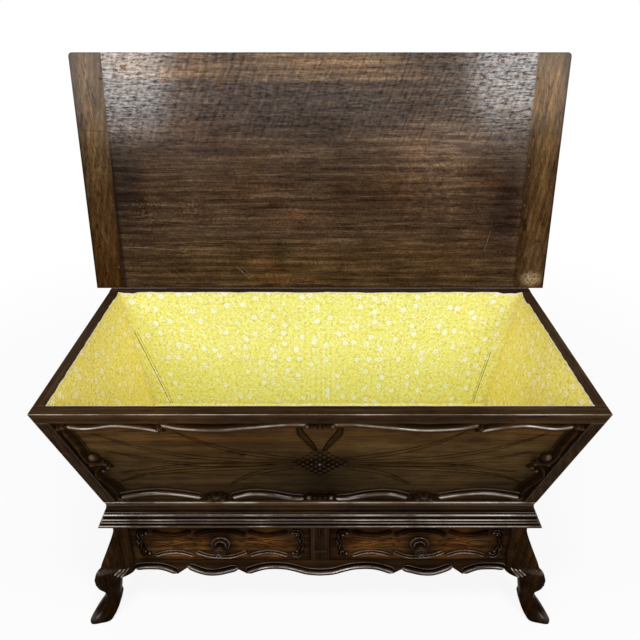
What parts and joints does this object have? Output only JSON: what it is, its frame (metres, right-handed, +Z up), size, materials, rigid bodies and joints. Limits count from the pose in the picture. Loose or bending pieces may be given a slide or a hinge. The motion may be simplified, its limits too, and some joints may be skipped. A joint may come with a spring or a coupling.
{
  "type": "kneading trough",
  "caption": "Raked kneading trough with a carved front, paper lining and open hinged lid, on a low cabriole-legged stand with two drawers.",
  "frame": {"origin": "on the floor, under the middle of the whole object's box with the lid open", "axes": "+X along the front to the viewer's right, -Y out of the carved front, +Z up"},
  "size_m": [1.3, 0.725, 1.3155],
  "materials": {
    "dark_walnut": "waxed, glossy",
    "carcass_walnut": "waxed",
    "carved_walnut": "waxed",
    "plain_wood": "raw, aged",
    "lid_walnut": "waxed",
    "cleat_walnut": "waxed",
    "lining_paper": "matt paper",
    "iron": "dark, worn"
  },
  "bodies": {
    "carcass": {"trough_rail_top": "carcass_walnut", "trough_rail_bottom": "carcass_walnut", "trough_stile_left": "carcass_walnut", "trough_stile_right": "carcass_walnut", "trough_panel": "carved_walnut", "trough_back": "carcass_walnut", "trough_end_left": "carcass_walnut", "trough_end_right": "carcass_walnut", "trough_floor": "plain_wood", "lining_front": "lining_paper", "lining_back": "lining_paper", "lining_left": "lining_paper", "lining_right": "lining_paper", "lining_floor": "lining_paper", "foot_front": "dark_walnut", "foot_left": "dark_walnut", "foot_right": "dark_walnut", "foot_back": "plain_wood", "leg_front_left": "dark_walnut", "leg_front_right": "dark_walnut", "leg_back_left": "dark_walnut", "leg_back_right": "dark_walnut", "stand_top_rail": "dark_walnut", "apron_front": "dark_walnut", "side_left": "dark_walnut", "side_right": "dark_walnut", "stand_back": "plain_wood", "drawer_divider": "dark_walnut", "drawer_runners": "plain_wood", "drawer_kickers": "plain_wood", "cornice_front": "dark_walnut", "cornice_left": "dark_walnut", "cornice_right": "dark_walnut", "hinge_left_leaf": "iron", "hinge_left_pin": "iron", "hinge_right_leaf": "iron", "hinge_right_pin": "iron", "hinge_screws": "iron"},
    "lid": {"lid_plank_front": "lid_walnut", "lid_plank_back": "lid_walnut", "lid_cleat_left": "cleat_walnut", "lid_cleat_right": "cleat_walnut", "lid_pegs": "cleat_walnut", "hinge_left_lid_leaf": "iron", "hinge_right_lid_leaf": "iron", "lid_hinge_screws": "iron"},
    "left_drawer": {"drawer_left_front": "carved_walnut", "drawer_left_sides": "plain_wood", "drawer_left_back": "plain_wood", "drawer_left_bottom": "plain_wood", "drawer_left_knob": "dark_walnut"},
    "right_drawer": {"drawer_right_front": "carved_walnut", "drawer_right_sides": "plain_wood", "drawer_right_back": "plain_wood", "drawer_right_bottom": "plain_wood", "drawer_right_knob": "dark_walnut"}
  },
  "joints": [
    {"name": "lid_hinge", "type": "hinge", "parent": "carcass", "child": "lid", "pos_m": [0, 0.22899, 0.69315], "axis": [1, 0, 0], "range_deg": [0, 100]},
    {"name": "left_drawer_slide", "type": "slide", "parent": "carcass", "child": "left_drawer", "axis": [0, -1, 0], "range_m": [0, 0.3]},
    {"name": "right_drawer_slide", "type": "slide", "parent": "carcass", "child": "right_drawer", "axis": [0, -1, 0], "range_m": [0, 0.3]}
  ]
}
